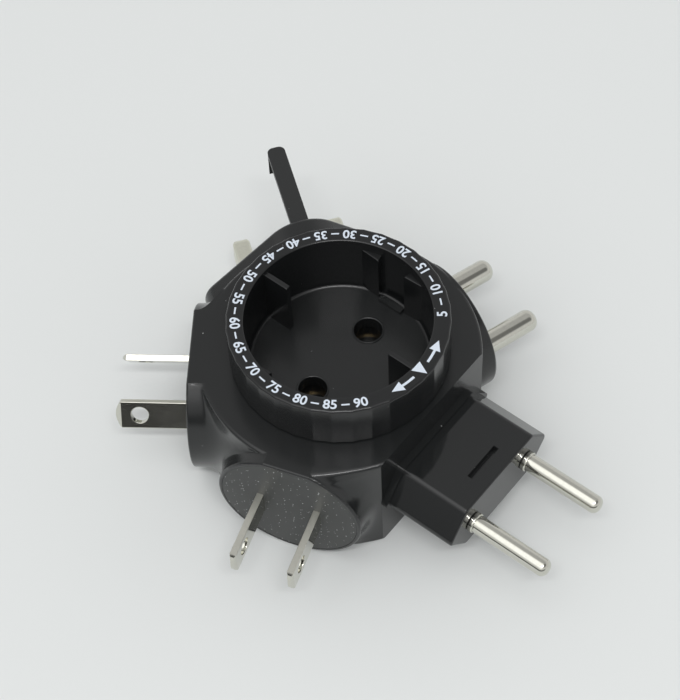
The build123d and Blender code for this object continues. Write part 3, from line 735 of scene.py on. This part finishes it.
class ADAPTER_OT_plates(bpy.types.Operator):
    """Set the satin plates into the four plug faces"""

    bl_idname = "adapter.plates"
    bl_label = "Plates"

    def gable(self, sizes):
        """Outline of the gable, whose slopes touch the round of its peak and end at its eaves."""
        half, eaves, foot = sizes.gable_half, sizes.gable_eaves, -sizes.foot
        rise = sizes.gable_top - sizes.gable_peak - eaves
        slope = atan2(rise, half) + asin(sizes.gable_peak / hypot(rise, half))
        peak = eaves + half * tan(slope)
        corners = [(-half, foot), (half, foot), (half, eaves), (0, peak), (-half, eaves)]
        low, bend = sizes.gable_foot, sizes.gable_bend
        return rounded(corners, [low, low, bend, sizes.gable_peak, bend], steps=12)

    def execute(self, context):
        sizes = context.scene.adapter_housing
        gap = 0.02 * MM
        us, au, thick = (
            cut_circle(radius, sizes.top, sizes.foot)
            for radius in (sizes.us_boss, sizes.au_boss, sizes.round_boss)
        )
        plates = (
            ("us_plate", US, us, sizes.face, sizes.rim),
            ("au_plate", AU, au, sizes.face, sizes.rim),
            ("round_plate", ROUND, thick, sizes.round_face, sizes.rim),
            ("gable_plate", GABLE, self.gable(sizes), sizes.face, sizes.gable_rim),
        )
        for name, place, outline, face, rim in plates:
            back, inset = face - sizes.plate, rim + gap
            slab = prism(outline, back, face, sizes.plate_edge, steps=6, inset=inset)
            grid = at_plug(outwards(slab), place)
            made = piece(f"{name}_polished", [grid], "Plate Black", "housing")
            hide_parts(name)
        return {"FINISHED"}


class ADAPTER_OT_dial_ring(bpy.types.Operator):
    """Build the fluted grip ring with the cup and recess below it"""

    bl_idname = "adapter.dial_ring"
    bl_label = "Grip ring"

    def section(self, sizes, ridge):
        """Closed section of the ring and cup, as (radius, height), out to the flutes' ridges."""
        floor_skin, foot_edge, cup_edge = np.array([0.01, 0.15, 0.2]) * MM
        recess, cup, bend = sizes.recess, sizes.cup, sizes.floor_bend
        low, top = DIAL_LOW.z, DIAL_HIGH.z - sizes.land_drop
        foot = HUB_TOP + sizes.lift
        floor = DIAL_HIGH.z - sizes.depth + floor_skin
        inner = recess - 1.05 * bend
        under = floor - bend
        corners = [
            (ridge, foot), (ridge, top), (recess, top), (recess, floor), (inner, floor),
            (inner, under), (recess, under), (recess, low), (cup, low), (cup, foot),
        ]
        edges = [foot_edge, sizes.outer_edge, sizes.inner_edge, bend, 0, 0, 0, 0, cup_edge, 0]
        outline = rounded(corners, edges)
        return np.concatenate([outline, outline[:1]])

    def execute(self, context):
        """Turn the section about Z, drawn in along each flute.

        With e the eased way from a ridge (0) to the flute's middle (1), the draw is the flute's
        depth times 1 - (1 - e)^2. It fades out towards the cup.
        """
        sizes = context.scene.adapter_dial
        ridge = DIAL_HIGH.x / cos(pi / sizes.ridges)
        section = self.section(sizes, ridge)
        blunt = 0.05
        fade = (0.3, 0.8)
        first_half = np.array([0, 0.02, 0.05, 0.09, 0.16, 0.26, 0.38, 0.5])
        last_half = np.array([0.62, 0.74, 0.84, 0.91, 0.95, 0.98])
        share = np.concatenate([first_half, last_half])
        turns = (np.arange(sizes.ridges)[:, None] + share).ravel() - 0.5
        turns = np.append(turns, turns[0] + sizes.ridges)
        part = np.append(np.tile(share, sizes.ridges), 0)
        from_ridge = 1 - np.abs(2 * part - 1)
        eased = (np.hypot(from_ridge, blunt) - blunt) / (np.hypot(1, blunt) - blunt)
        dip = sizes.flute * (1 - (1 - eased) ** 2)
        outward = np.interp((section[:, 0] - sizes.cup) / (ridge - sizes.cup), fade, (0, 1))
        angle = turns * 2 * pi / sizes.ridges
        reach = section[:, :1] - outward[:, None] * dip
        height = np.repeat(section[:, 1:], len(angle), 1)
        grid = np.stack([reach * np.cos(angle), reach * np.sin(angle), height], -1)
        ring = piece("dial_ring", [grid], "Dial Black", "dial", sharp=40)
        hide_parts("dial")
        return {"FINISHED"}


class ADAPTER_OT_dial_guides(bpy.types.Operator):
    """Build the two fins, the four guide wedges and the lips of the pin holes in the recess"""

    bl_idname = "adapter.dial_guides"
    bl_label = "Fins and guides"

    def execute(self, context):
        sizes = context.scene.adapter_dial
        edge, lip_sink, lip_rise = np.array([0.2, 0.2, 0.3]) * MM
        lip_edges = np.array([0, 0.28, 0.12, 0]) * MM
        floor, recess = DIAL_HIGH.z - sizes.depth, sizes.recess
        root = (recess + sizes.cup) / 2
        end, half = recess - sizes.fin_length, sizes.fin_thick / 2
        fin = np.array([(end, -half), (root, -half), (root, half), (end, half)])
        fin = prism(fin, floor, DIAL_HIGH.z - sizes.fin_drop, edge)
        fins = [turn(fin, around) for around in (0, pi)]
        near, far = sizes.wedge_near, sizes.wedge_far
        tip = recess - sizes.wedge_rise
        corners = ((root, far), (recess, far), (tip, near), (root, near))
        wedge = np.array([(radius * cos(at), radius * sin(at)) for radius, at in corners])
        wedges = []
        for side in (1, -1):
            guide = prism(wedge * [1, side], floor, DIAL_HIGH.z - sizes.wedge_drop, edge)
            wedges += [turn(guide, around + pi / 2) for around in (0, pi)]
        low, high = floor - lip_sink, floor + lip_rise
        inner, outer = sizes.hole, sizes.hole + sizes.hole_lip
        corners = [(low, inner), (high, inner), (high, outer), (low, outer)]
        lip = rounded(corners, lip_edges, steps=8)
        lip = upright(turned(np.concatenate([lip, lip[:1]])))
        lips = [lip + [0, side * sizes.hole_pitch / 2, 0] for side in (-1, 1)]
        piece("socket_lips", lips, "Socket Black", "dial")
        piece("dial_fins", fins, "Dial Black", "dial")
        piece("dial_wedges", wedges, "Dial Black", "dial")
        return {"FINISHED"}


class ADAPTER_OT_dial_print(bpy.types.Operator):
    """Print the pointer, the two arrows, the numbers and the dashes on the ring"""

    bl_idname = "adapter.dial_print"
    bl_label = "Dial print"

    def curl(self, sizes, flat, at):
        """Flat marks bent round the ring: x runs along the circle and y towards its middle."""
        reach = sizes.radius - flat[:, 1]
        angle = at + flat[:, 0] / sizes.radius
        return np.stack([reach * np.cos(angle), reach * np.sin(angle)], 1)

    def marks(self, name, outlines, low, high):
        """Thin flat shapes: each outline at both levels, joined by walls."""
        points, faces, base = [], [], 0
        for outline in outlines:
            count = len(outline)
            levels = np.repeat([low, high], count)[:, None]
            points.append(np.concatenate([np.tile(outline, (2, 1)), levels], 1))
            ring = base + np.arange(count)
            after = np.roll(ring, -1)
            walls = np.stack([ring, after, after + count, ring + count], 1)
            faces += [ring[::-1].tolist(), (ring + count).tolist(), *walls.tolist()]
            base += 2 * count
        mesh = bpy.data.meshes.new(name)
        mesh.from_pydata(np.concatenate(points).tolist(), [], faces)
        dressed(name, mesh, "White Print", "dial")

    def number(self, context, value, at, level):
        """A number in Blender's own font, bent round the ring at a level."""
        sizes = context.scene.adapter_print
        font_size = 1.38
        text = bpy.data.curves.new(f"digits_{value}", "FONT")
        text.body = str(value)
        text.align_x = "CENTER"
        text.align_y = "CENTER"
        text.size = sizes.digit * font_size
        text.offset = sizes.bold
        text.extrude = sizes.ink / 2
        text.resolution_u = 4
        holder = linked(f"digits_{value}", text)
        context.view_layer.update()
        shaped = holder.evaluated_get(context.evaluated_depsgraph_get())
        mesh = bpy.data.meshes.new_from_object(shaped)
        bpy.data.objects.remove(holder)
        flat = np.zeros(3 * len(mesh.vertices), np.float32)
        mesh.vertices.foreach_get("co", flat)
        flat = flat.reshape(-1, 3).astype(float)
        bent = np.concatenate([self.curl(sizes, flat[:, :2], at), flat[:, 2:] + level], 1)
        mesh.vertices.foreach_set("co", bent.astype(np.float32).ravel())
        mesh.materials.clear()
        dressed(f"dial_number_{value}", mesh, "White Print", "dial")

    def execute(self, context):
        sizes = context.scene.adapter_print
        below = 0.002 * MM
        low, high = DIAL_HIGH.z - sizes.ink - below, DIAL_HIGH.z - below
        pointer = np.array([(-1.5, 1.45), (1.5, 1.45), (0, -1.5)]) * MM
        self.marks("dial_pointer", [self.curl(sizes, pointer, 0)], low, high)
        start, neck, tip, thin, broad = 2.3, 5.5, 8.1, 0.27, 1.2
        upper = np.stack([np.linspace(start, neck, 6), np.full(6, thin)], 1)
        head = np.array([(neck, broad), (tip, 0.0), (neck, -broad)])
        arrow = np.concatenate([upper, head, upper[::-1] * [1, -1]]) * MM
        arrows = [self.curl(sizes, arrow * [side, 1], 0) for side in (1, -1)]
        self.marks("dial_arrows", arrows, low, high)
        numbers = range(5, 95, 5)
        first, last = radians(31), radians(329)
        step = (last - first) / len(numbers)
        middles = [first + (k + 0.5) * step for k in range(len(numbers))]
        line = np.linspace(-sizes.dash / 2, sizes.dash / 2, 5)
        edge = np.stack([line, np.full(5, sizes.dash_wide / 2)], 1)
        dash = np.concatenate([edge, edge[::-1] * [1, -1]])
        dashes = [self.curl(sizes, dash, middle + step / 2) for middle in middles[:-1]]
        self.marks("dial_dashes", dashes, low, high)
        for value, middle in zip(numbers, middles):
            self.number(context, value, middle, (low + high) / 2)
        return {"FINISHED"}


class ADAPTER_OT_round_pins(bpy.types.Operator):
    """Turn the thin pins of the Euro side and the thick pins of the round side"""

    bl_idname = "adapter.round_pins"
    bl_label = "Round pins"

    def execute(self, context):
        sizes = context.scene.adapter_pins
        thin_root, thick_root, collar_long, thick_long = np.array([1.6, 2, 1.2, 15]) * MM
        tail, tip = EURO_PIN_LOW.x, EURO_PIN_HIGH.x
        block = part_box("euro_body")[1].x
        radius, collar = sizes.euro_radius, sizes.euro_collar
        corners = [
            (tail, 0), (tail, thin_root), (block, thin_root), (block, collar),
            (block + collar_long, collar), (block + collar_long, radius), (tip, radius), (tip, 0),
        ]
        thin = rounded(corners, np.array([0, 0.2, 0, 0.25, 0.25, 0, 1.55, 0]) * MM, steps=9)
        face = context.scene.adapter_housing.round_face
        tail, tip, radius = face - sizes.tail, face + thick_long, sizes.round_radius
        corners = [
            (tail, 0), (tail, thick_root), (face, thick_root), (face, radius), (tip, radius),
            (tip, 0),
        ]
        thick = rounded(corners, np.array([0, 0.2, 0, 0, 2.0, 0]) * MM, steps=9)
        sets = (
            ("euro", EURO, thin, sizes.euro_pitch, 0.0),
            ("round", ROUND, thick, sizes.round_pitch, sizes.round_drop),
        )
        for kind, place, profile, pitch, drop in sets:
            for side, pole in POLES:
                name = f"{kind}_pin_{pole}"
                grid = at_plug(turned(profile) + [0, side * pitch / 2, -drop], place)
                made = piece(name + "_turned", [grid], "Nickel", "housing")
                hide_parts(name)
        return {"FINISHED"}


class ADAPTER_OT_blades(bpy.types.Operator):
    """Stamp the flat blades with their holes"""

    bl_idname = "adapter.blades"
    bl_label = "Blades"

    def blade(self, sizes, root, tip):
        """A blade with a hole as a closed ring of sections: edge, back, hole wall, front in turn.

        The tip is an arc of the bow's height over the blade's width. Across the thickness each
        section is drawn in by the edge's rounding, and a flat bevel cuts it off straight before
        the tip. The first and last sections lie in the flat sides, a little inside their borders,
        to keep them flat.
        """
        square_tip, lap = 0.35, 0.06 * MM
        half, bow = sizes.blade_wide / 2, sizes.blade_nose
        curve = (half**2 + bow**2) / (2 * bow)
        sweep = np.linspace(-1, 1, 15) * asin(half / curve)
        nose = np.stack([tip - curve + curve * np.cos(sweep), curve * np.sin(sweep)], 1)
        corners = np.concatenate([[(root, -half)], nose, [(root, half)]])
        middle = np.array([tip - sizes.blade_hole_back, 0.0])
        side = sizes.blade_thick / 2
        edge = sizes.blade_edge / side
        across = np.array([1, 1, 0.99, 0.96, 0.91, 0.8, 0.6, square_tip, 0.1])
        across = np.concatenate([across, -across[::-1]])
        over = np.clip((np.abs(across) - 1 + edge) / edge, 0, 1)
        draw = sizes.blade_edge * (1 - np.sqrt(1 - over**2))
        slope = np.clip((np.abs(across) - square_tip) / (1 - square_tip), 0, 1)
        bevel = sizes.blade_bevel * slope
        draw[[0, -1]] += lap
        bevel[[0, -1]] += lap
        rows, way = convex_rows(corners, draw, middle)
        rows[..., 0] = np.minimum(rows[..., 0], tip - bevel[:, None])
        hole = middle + (sizes.blade_hole + draw)[::-1, None, None] * way
        outline = np.concatenate([rows, hole, rows[:1]])
        heights = side * np.concatenate([across, across[::-1], across[:1]])
        heights = np.broadcast_to(heights[:, None], outline.shape[:2])
        return np.stack([outline[..., 0], heights, outline[..., 1]], -1)

    def execute(self, context):
        sizes = context.scene.adapter_pins
        face = context.scene.adapter_housing.face
        sets = (
            ("us", US, sizes.us_pitch, sizes.us_reach, 0.0, sizes.us_drop),
            ("au", AU, sizes.au_pitch, sizes.au_reach, sizes.au_lean, sizes.au_drop),
        )
        for kind, place, pitch, reach, lean, drop in sets:
            flat = self.blade(sizes, face - sizes.tail, face + reach)
            for side, pole in POLES:
                c, s = cos(side * lean), sin(side * lean)
                leaned = flat @ np.array([[1, 0, 0], [0, c, s], [0, -s, c]])
                grid = at_plug(leaned + [0, side * pitch / 2, -drop], place)
                name = f"{kind}_blade_{pole}"
                made = piece(
                    name + "_stamped", [grid], "Stamped Nickel", "housing",
                    sharp=12, lay=[flat[..., [2, 0]]],
                )
                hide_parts(name)
        return {"FINISHED"}


class ADAPTER_OT_flat_pins(bpy.types.Operator):
    """Draw the two flat pins of the gabled side"""

    bl_idname = "adapter.flat_pins"
    bl_label = "Flat pins"

    def execute(self, context):
        sizes = context.scene.adapter_pins
        face = context.scene.adapter_housing.face
        wide, tall = sizes.flat_wide / 2, sizes.flat_tall / 2
        corners = [(-wide, -tall), (wide, -tall), (wide, tall), (-wide, tall)]
        section = rounded(corners, [sizes.flat_edge] * 4, steps=8)
        tail, tip = face - sizes.tail, face + sizes.flat_reach
        bar = outwards(prism(section, tail, tip, sizes.flat_nose, steps=8))
        for side, pole in POLES:
            name = f"flat_pin_{pole}"
            grid = at_plug(bar + [0, side * sizes.flat_pitch / 2, -sizes.flat_drop], GABLE)
            made = piece(name + "_drawn", [grid], "Dull Nickel", "housing")
            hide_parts(name)
        return {"FINISHED"}


class ADAPTER_OT_screws(bpy.types.Operator):
    """Drive the five cross-head screws into the base"""

    bl_idname = "adapter.screws"
    bl_label = "Base screws"

    def screw(self, radius):
        """A screw, head down: a crowned disc with a cross sunk in it, on a plain shank.

        The head's level rises with the fourth power of the way out from its middle. The cross
        lies where the lesser of x and y is within half its width and the greater within its reach.
        """
        arm_half, arm_reach, arm_flank, arm_end = np.array([0.34, 1.25, 0.1, 0.2]) * MM
        crown, edge_rise, cross_deep = np.array([0.12, 0.3, 0.7]) * MM
        head_top, shank, shank_top = np.array([1.5, 1.1, 8.5]) * MM
        t = np.linspace(0, 2 * pi, 97)
        share = np.linspace(0, 1, 33)[:, None]
        x, y = radius * share * np.cos(t), radius * share * np.sin(t)
        less, more = np.minimum(np.abs(x), np.abs(y)), np.maximum(np.abs(x), np.abs(y))
        narrow = np.clip((arm_half - less) / arm_flank, 0, 1)
        short = np.clip((arm_reach - more) / arm_end, 0, 1)
        level = crown + edge_rise * share**4 + cross_deep * narrow * short
        wall = [(head_top, radius), (head_top, shank), (shank_top, shank), (shank_top, 0)]
        body = upright(turned(np.array(wall), columns=96))
        return np.concatenate([np.stack([x, y, level], -1), body])

    def execute(self, context):
        sizes = context.scene.adapter_housing
        screw = self.screw(sizes.screw_head) + [sizes.screw_ring, 0, 0]
        grids = [turn(screw, (side + 0.5) * PLUG_STEP) for side in (EURO, ROUND, GABLE, AU, US)]
        made = piece("base_screws", grids, "Screw Steel", "housing")
        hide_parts("housing_screws")
        return {"FINISHED"}


class ADAPTER_OT_inner_parts(bpy.types.Operator):
    """Finish the contacts and the screws inside"""

    bl_idname = "adapter.inner_parts"
    bl_label = "Contacts and inner screws"

    def execute(self, context):
        contacts = ("clip_", "wiper_", "strip_")
        names = [name for name in frame["nodes"] if name.startswith(contacts)]
        # The contacts' brass colour is darkened to paint the shade inside the socket holes.
        finish_nodes("Contact Brass", *names)
        finish_nodes("Screw Steel", "rotor_screws")
        finish_nodes("Satin Black", "contact_block", "retainer")
        return {"FINISHED"}


class ADAPTER_OT_stage(bpy.types.Operator):
    """Lay the floor, light it and place the camera"""

    bl_idname = "adapter.stage"
    bl_label = "Stage"

    def floor(self, settings):
        """A wide plain floor just below the adapter."""
        reach, below = 20.0, 0.05 * MM
        material, sockets = new_material("Pale Floor")
        sockets["Base Color"].default_value = (*settings.floor, 1)
        sockets["Roughness"].default_value = 0.7
        mesh = bpy.data.meshes.new("floor")
        corners = [(-reach, -reach, 0), (reach, -reach, 0), (reach, reach, 0), (-reach, reach, 0)]
        mesh.from_pydata(corners, [], [(0, 1, 2, 3)])
        mesh.materials.append(material)
        floor = linked("floor", mesh)
        floor.location.z = -below

    def room(self, settings):
        """Soft light from all round, a little darker overhead.

        A strip low in front and a card on the right take some of it away, and a broad soft light
        is added.
        """
        world = bpy.data.worlds.new("Soft Room")
        world.use_nodes = True
        tree = world.node_tree
        way = add(tree, "TexCoord").outputs["Generated"]
        height = add(tree, "SeparateXYZ", {0: way}).outputs["Z"]
        ramp = add(tree, "ValToRGB", {0: height})
        stops = ((0.0, 0.68), (0.5, 0.68), (0.72, 0.48), (1.0, 0.5))
        while len(ramp.color_ramp.elements) < len(stops):
            ramp.color_ramp.elements.new(0.5)
        for stop, (at, level) in zip(ramp.color_ramp.elements, stops):
            stop.position = at
            stop.color = (level, level, level, 1)

        def eased(value, low, high, first, last):
            """A level that goes smoothly from first to last as a value goes from low to high."""
            inputs = dict(enumerate((value, low, high, first, last)))
            return add(tree, "MapRange", inputs, interpolation_type="SMOOTHSTEP").outputs[0]

        def lobe(turns, *limits):
            """A level that is eased by how near the way comes to a direction."""
            inputs = {0: way, 1: direction(turns)}
            near = add(tree, "VectorMath", inputs, operation="DOT_PRODUCT").outputs["Value"]
            return eased(near, *limits)

        front = lobe((settings.front, 0.0), 0.0, 0.5, 0.0, 1.0)
        strip = maths(tree, "MULTIPLY", front, eased(height, 0.12, 0.34, 0.92, 0.0))
        kept = maths(tree, "SUBTRACT", 1.0, strip)
        card = lobe(settings.flag_turn, 0.88, 0.97, 1.0, 0.4)
        level = maths(tree, "MULTIPLY", ramp.outputs["Color"], kept)
        level = maths(tree, "MULTIPLY", level, card)
        glow = lobe(settings.glow_turn, 0.74, 0.94, 0.0, settings.glow)
        sky = {"Color": maths(tree, "ADD", level, glow), "Strength": settings.sky}
        feed(tree, tree.nodes["Background"].inputs, sky)
        return world

    def lamp(self, settings):
        """A long narrow lamp one metre away, facing the adapter."""
        light = bpy.data.lights.new("Lamp", "AREA")
        light.energy = settings.lamp
        light.shape = "RECTANGLE"
        light.size, light.size_y = settings.lamp_wide, settings.lamp_tall
        lamp = linked("Lamp", light)
        lamp.location = direction(settings.lamp_turn)
        lamp.rotation_euler = lamp.location.to_track_quat("Z", "Y").to_euler()

    def camera(self, settings):
        """The camera, whose own axes are right, up and back, turned by the roll."""
        azimuth, elevation, roll = settings.camera_turn
        across, depth = np.array([cos(azimuth), sin(azimuth), 0.0]), cos(elevation)
        back = np.array([sin(azimuth) * depth, -cos(azimuth) * depth, sin(elevation)])
        above = np.cross(back, across)
        right = across * cos(roll) + above * sin(roll)
        up = above * cos(roll) - across * sin(roll)
        axes = Matrix(np.stack([right, up, back], 1).tolist())
        eye = bpy.data.cameras.new("Camera")
        eye.lens = settings.lens
        eye.sensor_width = 36
        eye.clip_start, eye.clip_end = 0.01, 100
        camera = linked("Camera", eye)
        camera.matrix_world = Matrix.Translation(settings.camera_place) @ axes.to_4x4()
        return camera

    def execute(self, context):
        scene = context.scene
        settings = scene.adapter_stage
        scene.view_settings.view_transform = "Standard"
        self.floor(settings)
        scene.world = self.room(settings)
        self.lamp(settings)
        scene.camera = self.camera(settings)
        return {"FINISHED"}


STEPS = (
    ADAPTER_OT_housing,
    ADAPTER_OT_blends,
    ADAPTER_OT_plates,
    ADAPTER_OT_dial_ring,
    ADAPTER_OT_dial_guides,
    ADAPTER_OT_dial_print,
    ADAPTER_OT_round_pins,
    ADAPTER_OT_blades,
    ADAPTER_OT_flat_pins,
    ADAPTER_OT_screws,
    ADAPTER_OT_inner_parts,
    ADAPTER_OT_stage,
)
SETTINGS = {
    "adapter_housing": AdapterHousing,
    "adapter_dial": AdapterDial,
    "adapter_print": AdapterPrint,
    "adapter_pins": AdapterPins,
    "adapter_finish": AdapterFinish,
    "adapter_stage": AdapterStage,
}


class ADAPTER_PT_pieces(bpy.types.Panel):
    """Lists the steps that build the adapter, and their settings"""

    bl_idname = "ADAPTER_PT_pieces"
    bl_label = "Travel plug adapter"
    bl_space_type = "VIEW_3D"
    bl_region_type = "UI"
    bl_category = "Adapter"

    def draw(self, context):
        for step in STEPS:
            self.layout.operator(step.bl_idname)
        for name, kind in SETTINGS.items():
            box = self.layout.box()
            for key in kind.__annotations__:
                box.prop(getattr(context.scene, name), key)


def register():
    """Register the settings, the steps and the panel."""
    for kind in (*SETTINGS.values(), *STEPS, ADAPTER_PT_pieces):
        bpy.utils.register_class(kind)
    for name, kind in SETTINGS.items():
        setattr(bpy.types.Scene, name, bpy.props.PointerProperty(type=kind))


def unregister():
    """Take the settings, the steps and the panel out again."""
    for name in SETTINGS:
        delattr(bpy.types.Scene, name)
    for kind in reversed((*SETTINGS.values(), *STEPS, ADAPTER_PT_pieces)):
        bpy.utils.unregister_class(kind)


def main():
    register()
    for step in STEPS:
        group, name = step.bl_idname.split(".")
        getattr(getattr(bpy.ops, group), name)()


if __name__ == "__main__":
    main()
